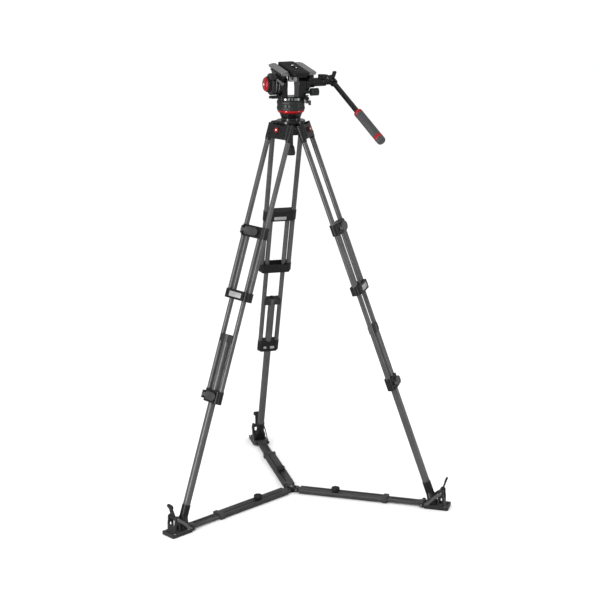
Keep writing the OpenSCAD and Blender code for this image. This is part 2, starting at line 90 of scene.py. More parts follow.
class Nodes:
    def __init__(self, name):
        self.m = bpy.data.materials.new(name)
        self.m.use_nodes = True
        self.t = self.m.node_tree
        self.b = self.t.nodes["Principled BSDF"]
        self.co = None

    def n(self, kind, **kw):
        x = self.t.nodes.new(kind)
        for k, v in kw.items():
            setattr(x, k, v)
        return x

    def link(self, a, b):
        self.t.links.new(a, b)

    def obj(self):
        if not self.co:
            self.co = self.n("ShaderNodeTexCoord").outputs["Object"]
        return self.co

    def noise(self, scale, detail=3, rough=0.5, vec=None, stretch=None):
        v = vec or self.obj()
        if stretch:
            mp = self.n("ShaderNodeMapping")
            mp.inputs["Scale"].default_value = stretch
            self.link(v, mp.inputs["Vector"])
            v = mp.outputs["Vector"]
        x = self.n("ShaderNodeTexNoise")
        x.inputs["Scale"].default_value = scale
        x.inputs["Detail"].default_value = detail
        x.inputs["Roughness"].default_value = rough
        self.link(v, x.inputs["Vector"])
        return x.outputs["Fac"]

    def voronoi(self, scale, vec=None, feature="F1"):
        x = self.n("ShaderNodeTexVoronoi", feature=feature)
        x.inputs["Scale"].default_value = scale
        self.link(vec or self.obj(), x.inputs["Vector"])
        return x.outputs["Distance"]

    def math(self, op, a, b=None, c=None):
        x = self.n("ShaderNodeMath", operation=op)
        for i, v in enumerate((a, b, c)):
            if v is None:
                continue
            if isinstance(v, (int, float)):
                x.inputs[i].default_value = v
            else:
                self.link(v, x.inputs[i])
        return x.outputs[0]

    def ramp(self, fac, stops):
        x = self.n("ShaderNodeValToRGB")
        e = x.color_ramp.elements
        while len(e) < len(stops):
            e.new(0.5)
        for el, (p, c) in zip(e, stops):
            el.position = p
            el.color = (c[0], c[1], c[2], 1) if isinstance(c, (tuple, list)) else (c, c, c, 1)
        self.link(fac, x.inputs[0])
        return x.outputs[0]

    def mapr(self, fac, lo, hi, a=0.0, b=1.0):
        x = self.n("ShaderNodeMapRange")
        x.inputs["From Min"].default_value = a
        x.inputs["From Max"].default_value = b
        x.inputs["To Min"].default_value = lo
        x.inputs["To Max"].default_value = hi
        self.link(fac, x.inputs["Value"])
        return x.outputs["Result"]

    def mix(self, fac, a, b):
        x = self.n("ShaderNodeMix", data_type="RGBA")
        for sock, v in ((x.inputs[0], fac), (x.inputs[6], a), (x.inputs[7], b)):
            if isinstance(v, (int, float)):
                sock.default_value = v
            elif isinstance(v, (tuple, list)):
                sock.default_value = (v[0], v[1], v[2], 1)
            else:
                self.link(v, sock)
        return x.outputs[2]

    def bump(self, height, strength, dist, prev=None):
        x = self.n("ShaderNodeBump")
        x.inputs["Strength"].default_value = strength
        x.inputs["Distance"].default_value = dist
        self.link(height, x.inputs["Height"])
        if prev:
            self.link(prev, x.inputs["Normal"])
        return x.outputs["Normal"]

    def out(self, color=None, rough=None, normal=None, metallic=None, **kw):
        if color is not None:
            self.link(color, self.b.inputs["Base Color"])
        if rough is not None:
            self.link(rough, self.b.inputs["Roughness"])
        if normal is not None:
            self.link(normal, self.b.inputs["Normal"])
            self.link(normal, self.b.inputs["Coat Normal"])
        if metallic is not None:
            self.b.inputs["Metallic"].default_value = metallic
        for k, v in kw.items():
            self.b.inputs[k.replace("_", " ")].default_value = v
        return self.m


def worn(x, col, edge, lo=0.53, hi=0.62):
    """lightens a colour along the outer edges, broken up with noise"""
    g = x.n("ShaderNodeNewGeometry")
    f = x.mapr(g.outputs["Pointiness"], 0.0, 1.0, lo, hi)
    f = x.math("MULTIPLY", f, x.mapr(x.noise(260, 4), 0.0, 1.0, 0.35, 0.7))
    f = x.math("MINIMUM", x.math("MAXIMUM", f, 0.0), 1.0)
    return x.mix(f, col, edge)


def painted(name, base, grain=1500, rough=(0.30, 0.46), edge=0.20, bump=0.16, coat=0.0, spec=0.5):
    """powder coated casting: fine orange peel, faint mottling, paler worn edges"""
    x = Nodes(name)
    big = x.noise(22, 4)
    col = x.ramp(big, [(0.3, [c * 0.78 for c in base]), (0.7, [c * 1.3 for c in base])])
    speck = x.mapr(x.noise(4200, 2), 0.0, 0.5, 0.62, 0.8)
    col = x.mix(speck, col, [min(1, c * 2.2 + 0.02) for c in base])
    col = worn(x, col, [edge] * 3)
    r = x.mapr(x.noise(60, 4), rough[0], rough[1], 0.3, 0.7)
    nrm = x.bump(x.noise(grain, 3, 0.6), bump, 0.0004)
    return x.out(col, r, nrm, 0.0, Coat_Weight=coat, Coat_Roughness=0.2, Specular_IOR_Level=spec)


def moulded(name, base, grain=1700, rough=(0.42, 0.58), bump=0.22):
    """injection moulded plastic with a spark-eroded grain"""
    x = Nodes(name)
    col = x.ramp(x.noise(35, 5), [(0.3, [c * 0.82 for c in base]), (0.7, [c * 1.25 for c in base])])
    col = worn(x, col, [c * 3 + 0.03 for c in base], 0.54, 0.66)
    cell = x.voronoi(grain)
    r = x.mapr(x.noise(120, 3), rough[0], rough[1], 0.3, 0.7)
    nrm = x.bump(cell, bump, 0.0004, x.bump(x.noise(9, 2), 0.08, 0.002))
    return x.out(col, r, nrm)


def rubbery(name, base, rough=(0.62, 0.8)):
    x = Nodes(name)
    dust = x.noise(90, 6, 0.65)
    col = x.ramp(dust, [(0.35, [c * 0.8 for c in base]), (0.62, base), (0.8, [c * 1.9 for c in base])])
    col = worn(x, col, [c * 3.2 + 0.02 for c in base], 0.52, 0.64)
    r = x.mapr(x.noise(200, 3), rough[0], rough[1], 0.3, 0.7)
    nrm = x.bump(x.noise(2600, 4, 0.7), 0.35, 0.0005)
    return x.out(col, r, nrm, Sheen_Weight=0.15, Sheen_Roughness=0.5)


def metal(name, base, stretch=(1, 1, 60), rough=(0.22, 0.38), metallic=1.0, bump=0.05, scale=90, coat=0.0):
    """satin metal with fine machining lines along one direction"""
    x = Nodes(name)
    lines = x.noise(scale, 5, 0.6, stretch=stretch)
    col = x.ramp(x.noise(40, 4), [(0.3, [c * 0.86 for c in base]), (0.7, [min(1, c * 1.08) for c in base])])
    col = x.mix(x.mapr(lines, 0.0, 0.3, 0.3, 0.75), col, [c * 0.6 for c in base])
    col = worn(x, col, [min(1, c * 1.35 + 0.08) for c in base], 0.53, 0.6)
    r = x.mapr(lines, rough[0], rough[1], 0.3, 0.7)
    nrm = x.bump(lines, bump, 0.0005, x.bump(x.noise(2400, 2), 0.06, 0.0003))
    return x.out(col, r, nrm, metallic, Coat_Weight=coat, Coat_Roughness=0.15)


def carbon_weave(name, dark, light, cell=0.0024):
    """two by two twill laid round a tube, under satin lacquer; the tube's own map is in metres"""
    x = Nodes(name)
    uv = x.n("ShaderNodeUVMap", uv_map="weave").outputs["UV"]
    sep = x.n("ShaderNodeSeparateXYZ")
    x.link(uv, sep.inputs[0])
    u = x.math("MULTIPLY", sep.outputs[0], 1 / cell)
    v = x.math("MULTIPLY", sep.outputs[1], 1 / cell)
    i, j = x.math("FLOOR", u), x.math("FLOOR", v)
    m = x.math("MODULO", x.math("ADD", x.math("ADD", i, j), 4000.0), 4.0)
    warp = x.math("LESS_THAN", m, 1.5)
    hu = x.math("SINE", x.math("MULTIPLY", x.math("FRACT", u), math.pi))
    hv = x.math("SINE", x.math("MULTIPLY", x.math("FRACT", v), math.pi))
    height = x.math("ADD", x.math("MULTIPLY", warp, hu), x.math("MULTIPLY", x.math("SUBTRACT", 1.0, warp), hv))
    fine_u = x.noise(900, 3, 0.6, vec=uv, stretch=(5, 0.4, 1))
    fine_v = x.noise(900, 3, 0.6, vec=uv, stretch=(0.4, 5, 1))
    fibre = x.math("ADD", x.math("MULTIPLY", warp, fine_u), x.math("MULTIPLY", x.math("SUBTRACT", 1.0, warp), fine_v))
    tone = x.math("ADD", x.math("MULTIPLY", warp, 0.42), x.math("MULTIPLY", fibre, 0.75))
    col = x.ramp(tone, [(0.15, dark), (0.9, light)])
    col = x.mix(x.mapr(x.noise(14, 3), 0.0, 0.35, 0.3, 0.7), col, [c * 1.5 for c in light])
    r = x.mapr(fibre, 0.30, 0.46, 0.3, 0.7)
    nrm = x.bump(height, 0.25, 0.00035)
    m = x.out(col, r, nrm, 0.0, Coat_Weight=0.8, Coat_Roughness=0.2)
    x.t.links.remove(x.b.inputs["Coat Normal"].links[0])
    return m


CAST = painted("cast_black", [0.0075, 0.0075, 0.0082], rough=(0.30, 0.42), edge=0.10)
CASTG = painted("cast_black_gloss", [0.0050, 0.0050, 0.0056], grain=900, rough=(0.14, 0.26), edge=0.08, bump=0.06, coat=0.5)
PLAST = moulded("moulded_black", [0.0085, 0.0085, 0.0090])
LEVER = moulded("lever_black", [0.0120, 0.0120, 0.0126], rough=(0.20, 0.34), bump=0.10)
# flat black for the strip laid in the channel slots: painted shadow
SLOT_SHADE = moulded("slot_shade_black", [0.0022, 0.0022, 0.0024], rough=(0.6, 0.75), bump=0.1)
# grey much lighter than the black lever plastic, standing in for the broad highlight on the flip levers' thumb plates:
# painted highlight
LEVER_HIGHLIT = moulded("lever_grey_painted_highlight", [0.042, 0.042, 0.043], rough=(0.18, 0.30), bump=0.08)
ARM = moulded("arm_grey_black", [0.034, 0.034, 0.035], grain=900, rough=(0.32, 0.46), bump=0.16)
RUB = rubbery("rubber_black", [0.009, 0.009, 0.0095])
GRIP = rubbery("grip_rubber", [0.040, 0.041, 0.043], (0.48, 0.64))
SILV = metal("anodised_silver", [0.60, 0.60, 0.61], (1, 60, 1), (0.26, 0.40))
BRIGHT = metal("machined_bright", [0.92, 0.92, 0.93], (1, 1, 60), (0.16, 0.28))
STEEL = metal("turned_steel", [0.80, 0.80, 0.81], (1, 1, 80), (0.14, 0.26))
DSTEEL = metal("blackened_steel", [0.075, 0.075, 0.078], (1, 1, 80), (0.24, 0.36))
GREYM = metal("anodised_dark_grey", [0.040, 0.044, 0.043], (1, 1, 70), (0.28, 0.40), 0.6)
REDM = metal("anodised_red", [0.40, 0.002, 0.006], (1, 1, 60), (0.14, 0.26), 0.35, 0.03, coat=0.7)
REDP = moulded("red_trim", [0.46, 0.008, 0.014], rough=(0.28, 0.4), bump=0.06)
PLATEC = painted("plate_black", [0.0085, 0.0087, 0.0092], grain=2200, rough=(0.46, 0.60), edge=0.12, bump=0.2, spec=0.22)
LABEL = metal("blank_plate", [0.74, 0.74, 0.75], (1, 60, 60), (0.38, 0.5), 0.8)
WEB = rubbery("webbing_grey", [0.055, 0.055, 0.057], (0.6, 0.75))
MARK = moulded("mark_white", [0.70, 0.70, 0.68], rough=(0.45, 0.55), bump=0.04)
CARB = carbon_weave("carbon_twill", [0.013, 0.013, 0.0136], [0.072, 0.072, 0.075])

# ---------------------------------------------------------------- frames, in millimetres
AZ = [rad(84.25), rad(204.25), rad(324.25)]
BETA = rad(19.93)
MM = Matrix.Scale(0.001, 4)
ROOT = MM
TILT = Matrix.Translation((0, 0, 1.664)) @ Matrix.Rotation(rad(7), 4, "X") @ Matrix.Translation((0, 0, -1.664)) @ MM
BARM = Matrix.Translation((0.158, -0.025, 1.670)) @ Matrix.Rotation(rad(11.2 - 90), 4, "Z") @ Matrix.Rotation(rad(118.4), 4, "Y") @ MM
DZ = 1707.0
TZ = 1664.0


def LEG(k):
    return Matrix.Rotation(AZ[k], 4, "Z") @ Matrix.Translation((0.0522, 0, 1.497)) @ Matrix.Rotation(-BETA, 4, "Y") @ MM


def ARMF(k):
    return Matrix.Rotation(AZ[k], 4, "Z") @ MM


AX = {
    "z": Matrix.Identity(4),
    "x": Matrix.Rotation(rad(90), 4, "Y"),
    "y": Matrix.Rotation(rad(-90), 4, "X"),
}


class G:
    """one mesh, drawn in millimetres"""

    def __init__(self):
        self.bm = bmesh.new()
        self.uv = None

    def lathe(self, prof, c=(0, 0, 0), axis="z", n=64, fn=None, loop=False, start=0.0, sweep=None):
        """revolves (radius, height) points about an axis through c"""
        M = Matrix.Translation(c) @ AX[axis]
        rings = []
        full = sweep is None
        cnt = n if full else n + 1
        for i, (r, h) in enumerate(prof):
            if r < 1e-6:
                rings.append([self.bm.verts.new(M @ Vector((0, 0, h)))])
                continue
            ring = []
            for s in range(cnt):
                a = start + (2 * math.pi * s / n if full else sweep * s / n)
                rr = fn(a, r, h, i) if fn else r
                ring.append(self.bm.verts.new(M @ Vector((rr * math.cos(a), rr * math.sin(a), h))))
            rings.append(ring)
        pairs = list(zip(rings, rings[1:]))
        if loop:
            pairs.append((rings[-1], rings[0]))
        for a, b in pairs:
            m = cnt if full else cnt - 1
            for s in range(m):
                t = (s + 1) % cnt
                if len(a) == 1 and len(b) == 1:
                    continue
                if len(a) == 1:
                    self.bm.faces.new((a[0], b[s], b[t]))
                elif len(b) == 1:
                    self.bm.faces.new((a[s], b[0], a[t]))
                else:
                    self.bm.faces.new((a[s], b[s], b[t], a[t]))
        if not full:
            for e in (0, -1):
                f = [r[e] for r in rings]
                self.bm.faces.new(f if e == 0 else f[::-1])
        elif not loop:
            if len(rings[0]) > 1:
                self.bm.faces.new(rings[0])
            if len(rings[-1]) > 1:
                self.bm.faces.new(rings[-1][::-1])
        return self

    def prism(self, pts, z0, z1, M=None, bev=0.0, seg=2):
        """extrudes an outline along z"""
        M = M or Matrix.Identity(4)
        a = [self.bm.verts.new(M @ Vector((x, y, z0))) for x, y in pts]
        b = [self.bm.verts.new(M @ Vector((x, y, z1))) for x, y in pts]
        fs = [self.bm.faces.new(a[::-1]), self.bm.faces.new(b)]
        n = len(pts)
        for i in range(n):
            fs.append(self.bm.faces.new((a[i], a[(i + 1) % n], b[(i + 1) % n], b[i])))
        if bev:
            es = [e for f in fs[:2] for e in f.edges]
            if n <= 8:
                es = list({e for f in fs for e in f.edges})
            bmesh.ops.bevel(self.bm, geom=es, offset=bev, segments=seg, profile=0.5, affect="EDGES", clamp_overlap=True)
        return self

    def box(self, a, b, bev=1.0, M=None, seg=2):
        pts = [(a[0], a[1]), (b[0], a[1]), (b[0], b[1]), (a[0], b[1])]
        return self.prism(pts, a[2], b[2], M, bev, seg)

    def mesh(self, name, M):
        bmesh.ops.recalc_face_normals(self.bm, faces=self.bm.faces)
        me = bpy.data.meshes.new(name)
        self.bm.to_mesh(me)
        self.bm.free()
        me.transform(M)
        return me


def rounded(w, h, r, n=6, cx=0.0, cy=0.0):
    pts = []
    for sx, sy, a0 in ((1, 1, 0), (-1, 1, 90), (-1, -1, 180), (1, -1, 270)):
        for i in range(n + 1):
            a = rad(a0 + 90 * i / n)
            pts.append((cx + sx * (w / 2 - r) + r * math.cos(a), cy + sy * (h / 2 - r) + r * math.sin(a)))
    return pts


def shade(me, angle=34):
    me.shade_smooth()
    me.set_sharp_from_angle(angle=rad(angle))


def put(name, me, mat, body, replaces=None, angle=34):
    shade(me, angle)
    o = bpy.data.objects.new(name, me)
    scene.collection.objects.link(o)
    me.materials.clear()
    me.materials.append(mat)
    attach(o, body)
    if replaces:
        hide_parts(*([replaces] if isinstance(replaces, str) else replaces))
    return o


def evaluated(me, mods):
    """applies modifiers to a mesh and returns the result"""
    o = bpy.data.objects.new("tmp", me)
    scene.collection.objects.link(o)
    for kind, kw in mods:
        m = o.modifiers.new(kind, kind)
        for k, v in kw.items():
            setattr(m, k, v)
    dg = bpy.context.evaluated_depsgraph_get()
    dg.update()
    res = bpy.data.meshes.new_from_object(o.evaluated_get(dg))
    bpy.data.objects.remove(o)
    return res


def cad(node):
    """a clean copy of a CAD node's mesh"""
    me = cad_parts[node].data.copy()
    bm = bmesh.new()
    bm.from_mesh(me)
    bmesh.ops.remove_doubles(bm, verts=bm.verts, dist=2e-6)
    bmesh.ops.dissolve_limit(bm, angle_limit=rad(0.4), verts=bm.verts, edges=bm.edges)
    bm.to_mesh(me)
    bm.free()
    for a in list(me.attributes):
        if a.name == "custom_normal":
            me.attributes.remove(a)
    return me


def cast(node, voxel=0.0012, it=5, ratio=0.3):
    """a CAD node turned into a casting: its edges melt into small fillets"""
    return evaluated(cad(node), [
        ("REMESH", {"mode": "VOXEL", "voxel_size": voxel, "adaptivity": 0.0}),
        ("SMOOTH", {"factor": 0.5, "iterations": it}),
        ("DECIMATE", {"ratio": ratio}),
    ])


def edged(node, width=0.0006, seg=2, angle=32):
    """a CAD node with its edges rounded over"""
    return evaluated(cad(node), [
        ("BEVEL", {"width": width, "segments": seg, "limit_method": "ANGLE", "angle_limit": rad(angle), "use_clamp_overlap": True, "miter_outer": "MITER_ARC"}),
    ])


def moved(me, M):
    c = me.copy()
    c.transform(M)
    return c


def three(make, name, mat, body, replaces=None, frame_of=LEG, angle=34):
    """the same piece on each of the three legs or arms; make() gives it in place on the first"""
    base = make()
    inv = frame_of(0).inverted()
    for k, s in enumerate("abc"):
        M = frame_of(k) @ inv
        r = f"{replaces}_{s}" if replaces else None
        put(f"{name}_{s}", moved(base, M), mat, f"{body}_{s}", r, angle)


def screw(g, c, axis, r=2.4, h=2.2, s=1):
    """socket cap screw head: a knurled rim and a hexagonal socket"""
    M = Matrix.Translation(c) @ AX[axis] @ Matrix.Scale(s, 4, (0, 0, 1))
    n = 24
    bm = g.bm
    prof = [(r, 0), (r, h * 0.75), (r * 0.88, h)]
    rings = []
    for i, (rr, z) in enumerate(prof):
        rings.append([bm.verts.new(M @ Vector(((rr - (0.12 if j % 2 and i < 2 else 0)) * math.cos(2 * math.pi * j / n), (rr - (0.12 if j % 2 and i < 2 else 0)) * math.sin(2 * math.pi * j / n), z))) for j in range(n)])
    hexr = []
    for z in (h, h * 0.35):
        ring = []
        for j in range(n):
            a = 2 * math.pi * j / n
            sec = (a % (math.pi / 3)) - math.pi / 6
            rr = r * 0.46 / math.cos(sec)
            ring.append(bm.verts.new(M @ Vector((rr * math.cos(a), rr * math.sin(a), z))))
        hexr.append(ring)
    rings += hexr
    for a, b in zip(rings, rings[1:]):
        for j in range(n):
            t = (j + 1) % n
            bm.faces.new((a[j], a[t], b[t], b[j]))
    bm.faces.new(rings[-1])
    bm.faces.new(rings[0][::-1])


# ---------------------------------------------------------------- legs
def tube_mesh(M, parts):
    """carbon tubes (x, y, z0, z1, r, wall) with a map in metres round and along each"""
    bm = bmesh.new()
    uv = bm.loops.layers.uv.new("weave")
    n = 40
    for x, y, z0, z1, r, w in parts:
        prof = [(r - w, z0 + 0.4), (r - w + 0.3, z0), (r - 0.3, z0), (r, z0 + 0.3)]
        steps = max(2, int((z1 - z0) / 60))
        prof += [(r, z0 + 0.3 + (z1 - z0 - 0.6) * i / steps) for i in range(1, steps + 1)]
        prof += [(r - 0.3, z1), (r - w + 0.3, z1), (r - w, z1 - 0.4)]
        rings = []
        for rr, z in prof:
            rings.append([bm.verts.new(M @ Vector((x + rr * math.cos(2 * math.pi * s / n), y + rr * math.sin(2 * math.pi * s / n), z))) for s in range(n)])
        for i in range(len(rings)):
            a, b = rings[i], rings[(i + 1) % len(rings)]
            ha, hb = prof[i][1], prof[(i + 1) % len(rings)][1]
            for s in range(n):
                t = (s + 1) % n
                f = bm.faces.new((a[s], a[t], b[t], b[s]))
                per = 2 * math.pi * r * 0.001
                for l, (uu, vv) in zip(f.loops, ((s / n, ha), ((s + 1) / n, ha), ((s + 1) / n, hb), (s / n, hb))):
                    l[uv].uv = (uu * per, vv * 0.001)
    bmesh.ops.recalc_face_normals(bm, faces=bm.faces)
    me = bpy.data.meshes.new("tubes")
    bm.to_mesh(me)
    bm.free()
    return me


for k, s in enumerate("abc"):
    put(f"upper_tube_pair_{s}", tube_mesh(LEG(k), [(0, y, -671, 7.5, 9.8, 1.3) for y in (-56, 56)]), CARB, f"leg_{s}", f"upper_tubes_{s}")
    put(f"middle_tube_pair_{s}", tube_mesh(LEG(k), [(0, y, -1072, -393, 9.4, 1.2) for y in (-34.5, 34.5)]), CARB, f"mid_{s}", f"mid_tubes_{s}")
    put(f"lower_tube_{s}.vis", tube_mesh(LEG(k), [(0, 0, -1512, -812, 14.5, 1.6)]), CARB, f"low_{s}", f"lower_tube_{s}")

three(lambda: cast("upper_castings_a"), "yoke_and_end_collar", CAST, "leg", "upper_castings")
three(lambda: cast("mid_castings_a"), "middle_collars", CAST, "mid", "mid_castings")
three(lambda: cast("spiked_foot_a"), "forked_foot", CAST, "low", "spiked_foot")


def guide():
    """block on top of the lower tube that runs between the middle tubes"""
    g = G()
    pts = rounded(26.4, 67.4, 4, 4)
    g.prism(pts, -842, -812.6, bev=1.2)
    me = g.mesh("guide", LEG(0))
    c = G()
    for y in (-34.5, 34.5):
        c.lathe([(9.75, -850), (9.75, -805)], c=(0, y, 0), n=48)
    c.lathe([(14.45, -850), (14.45, -805)], n=48)
    cutter = bpy.data.objects.new("cut", c.mesh("cut", LEG(0)))
    scene.collection.objects.link(cutter)
    me = evaluated(me, [("BOOLEAN", {"operation": "DIFFERENCE", "object": cutter, "solver": "EXACT"})])
    bpy.data.objects.remove(cutter)
    return me


three(guide, "tube_guide", PLAST, "low")


def paddle(x, y, zc, l, h):
    """flip lever: knuckle, neck and an oval thumb plate with a dished face and a raised rim"""
    g = G()
    g.lathe([(2.7, -6.8), (5.2, -6.8), (5.6, -6.2), (5.6, 6.2), (5.2, 6.8), (2.7, 6.8)], c=(x, y, zc), n=40, loop=True)
    g.box((x - 2.8, y + 3.6, zc - 6.6), (x + 3.2, y + 17, zc + 6.6), 1.2)
    n = 14
    pts = []
    for i in range(n + 1):
        a = math.pi * i / n
        pts.append((h * math.cos(a), (l - 12 - 2 * h) + h * math.sin(a)))
    for i in range(n + 1):
        a = math.pi + math.pi * i / n
        pts.append((h * math.cos(a), h * math.sin(a)))
    M = Matrix.Translation((x, y + 12 + h, zc)) @ Matrix.Rotation(rad(90), 4, "Y")
    bm = g.bm
    def ring(scale, z):
        cy = (l - 12 - 2 * h) / 2
        return [bm.verts.new(M @ Vector((px * scale, cy + (py - cy) * (1 - (1 - scale) * 0.5), z))) for px, py in pts]
    rings = [ring(0.9, -3.3), ring(1.0, -2.3), ring(1.0, 1.6), ring(0.94, 3.3), ring(0.86, 3.4), ring(0.78, 2.2), ring(0.4, 1.5)]
    m = len(pts)
    for a, b in zip(rings, rings[1:]):
        for i in range(m):
            bm.faces.new((a[i], a[(i + 1) % m], b[(i + 1) % m], b[i]))
    bm.faces.new(rings[0][::-1])
    bm.faces.new(rings[-1])
    return g.mesh("paddle", LEG(0))


# the flip levers wear the lighter grey that paints their highlight
three(lambda: paddle(24.5, -48, -407.5, 84, 15), "upper_flip_lever", LEVER_HIGHLIT, "upper_lock", "upper_lever")
three(lambda: paddle(25.5, -34, -1055, 66, 16), "lower_flip_lever", LEVER_HIGHLIT, "lower_lock", "lower_lever")


def badge():
    g = G()
    g.lathe([(9.6, 21.5), (9.6, 23.2), (8.9, 24.0), (7.6, 24.2), (7.2, 23.6), (0, 23.8)], c=(0, 0, -12), axis="x", n=48)
    return g.mesh("badge", LEG(0))


def badge_dot():
    """a plain raised dot in the middle of the badge"""
    g = G()
    g.lathe([(0, 23.4), (3.1, 23.4), (3.1, 24.2), (2.7, 24.5), (0, 24.5)], c=(0, 0, -12), axis="x", n=32)
    return g.mesh("badge_dot", LEG(0))


three(badge, "yoke_badge", REDM, "leg")
three(badge_dot, "yoke_badge_centre", MARK, "leg")


def collar_plate():
    g = G()
    M = Matrix.Translation((22, 0, -657)) @ Matrix.Rotation(rad(90), 4, "Y")
    g.prism(rounded(20, 66, 3, 4), -0.6, 0.7, M, bev=0.3)
    return g.mesh("blank", LEG(0))


three(collar_plate, "end_collar_plate", LABEL, "leg")


def collar_plate_inner():
    """blank plates on the inner faces of the middle and lower collars"""
    g = G()
    M = Matrix.Translation((-17, 0, -415)) @ Matrix.Rotation(rad(90), 4, "Y")
    g.prism(rounded(15, 50, 2.5, 4), -0.9, 0.5, M, bev=0.3)
    for y, w in ((17, 12), (-14, 18)):
        M = Matrix.Translation((-18, y, -1058)) @ Matrix.Rotation(rad(90), 4, "Y")
        g.prism(rounded(12, w, 2, 4), -0.9, 0.5, M, bev=0.3)
    return g.mesh("blank", LEG(0))


three(collar_plate_inner, "collar_plates", LABEL, "mid")


def collar_screws():
    g = G()
    for y in (-48, 48):
        screw(g, (21.4, y, -657), "x", 3.0, 2.2)
    for y in (-42, 42):
        screw(g, (15.6, y, -28), "x", 3.2, 2.0)
    return g.mesh("screws", LEG(0))


three(collar_screws, "casting_screws", DSTEEL, "leg")


def lock_pins():
    g = G()
    for x, y, zc in ((24.5, -48, -407.5), (25.5, -34, -1055)):
        for sg in (-1, 1):
            z = zc + sg * 15.0
            prof = [(0, 0.9), (1.9, 0.9), (2.5, 0.3), (2.5, -1.5), (0, -1.5)]
            g.lathe([(r, z + sg * h) for r, h in prof], c=(x, y, 0), n=24)
    for y in (-42, 42):
        screw(g, (16.6, y, -407.5), "x", 2.8, 2.0)
    return g.mesh("pins", LEG(0))


three(lock_pins, "lever_pins_and_screws", DSTEEL, "mid")

# ---------------------------------------------------------------- spreader
three(lambda: edged("outer_arm_a", 0.0009), "outer_channel", ARM, "outer", "outer_arm", ARMF)
three(lambda: edged("inner_arm_a", 0.0007), "inner_bar", ARM, "inner", "inner_arm", ARMF)


def foot_pad():
    """foot plate with its hinge ears and the bracket, whose two cheeks are open frames that taper upwards"""
    me = edged("foot_plate_a", 0.0008)
    c = G()
    Y = Matrix(((1, 0, 0, 0), (0, 0, 1, 0), (0, 1, 0, 0), (0, 0, 0, 1)))
    c.prism([(614, 17), (630, 17), (627, 47), (617, 47)], -30, 30, Y, bev=0.0)
    c.prism([(606, 20), (606, 58.5), (611.2, 58.5)], -30, 30, Y, bev=0.0)
    c.prism([(638, 20), (632.8, 58.5), (638, 58.5)], -30, 30, Y, bev=0.0)
    cutter = bpy.data.objects.new("cut", c.mesh("cut", ARMF(0)))
    scene.collection.objects.link(cutter)
    me = evaluated(me, [("BOOLEAN", {"operation": "DIFFERENCE", "object": cutter, "solver": "EXACT"})])
    bpy.data.objects.remove(cutter)
    return me


three(foot_pad, "rubber_foot_plate", RUB, "foot", "foot_plate", ARMF)


def slot_shade_strip():
    """black strip in the slot along the top of each outer channel: a painted shadow that makes the slot read dark"""
    g = G()
    g.box((60.3, 6.1, 16.7), (375.7, 10.9, 19.1), 0.3)
    return g.mesh("slot_shadow", ARMF(0))


# each outer channel gets the black strip that paints the shadow inside its slot
three(slot_shade_strip, "channel_slot_painted_shadow", SLOT_SHADE, "outer", None, ARMF)
put("spreader_centre", cast("spreader_hub", 0.0008, 4, 0.4), CAST, "hub", "spreader_hub")


def knob():
    g = G()
    def fn(a, r, h, i):
        return r - 1.9 * max(0.0, math.cos(8 * a)) ** 2 if r > 14 and 22 < h < 37.5 else r
    g.lathe([(0, 16.8), (3.9, 16.8), (3.9, 19.4), (8.6, 19.4), (9, 20), (9, 22.4), (15.4, 22.4), (16.6, 23.4), (17, 25), (17, 34), (16.2, 36), (14.8, 36.9), (12, 37), (11.4, 36.2), (0, 36.0)], c=(186, 0, 0), n=96, fn=fn)
    return g.mesh("knob", ARMF(0))


three(knob, "arm_lock_knob", PLAST, "arm_lock", "arm_knob", ARMF)


def strap_lever():
    g = G()
    g.lathe([(4.2, -15.9), (7.4, -15.9), (8, -15.2), (8, 15.2), (7.4, 15.9), (4.2, 15.9)], c=(622, 0, 68), axis="y", n=40, loop=True)
    M = Matrix.Translation((622, 0, 68)) @ Matrix.Rotation(rad(18), 4, "Y")
    g.prism([(-10.8, 5), (10.8, 5), (8.6, 34), (9.6, 52), (-9.6, 52), (-8.6, 34)], -3.4, 3.4, M @ Matrix(((0, 0, 1, 0), (1, 0, 0, 0), (0, 1, 0, 0), (0, 0, 0, 1))), bev=1.0)
    R = M @ Matrix.Translation((0, 0, 52)) @ Matrix.Rotation(rad(90), 4, "Y")
    g.prism(rounded(17.8, 29.6, 6, 6), -3.8, 3.8, R, bev=1.4, seg=3)
    for i in range(4):
        g.box((-4.6, -10, 44.5 + i * 4.2), (-3.4, 10, 46.4 + i * 4.2), 0.5, M)
    return g.mesh("lever", ARMF(0))


three(strap_lever, "strap_paddle", LEVER, "strap", "foot_lever", ARMF)


def foot_trim():
    g = G()
    for x, z, y in ((545, 12, 34), (622, 68, 25.5)):
        for sg in (-1, 1):
            prof = [(0, 1.0), (3.0, 1.0), (3.9, 0.2), (3.9, -1.5), (0, -1.5)]
            g.lathe([(r, sg * (y + h)) for r, h in prof], c=(x, 0, z), axis="y", n=28)
    for x, y in ((572, 26), (572, -26), (640, 29), (640, -29)):
        screw(g, (x, y, 12.6), "z", 3.0, 2.2)
    return g.mesh("trim", ARMF(0))


three(foot_trim, "foot_pins_and_screws", STEEL, "foot", None, ARMF)


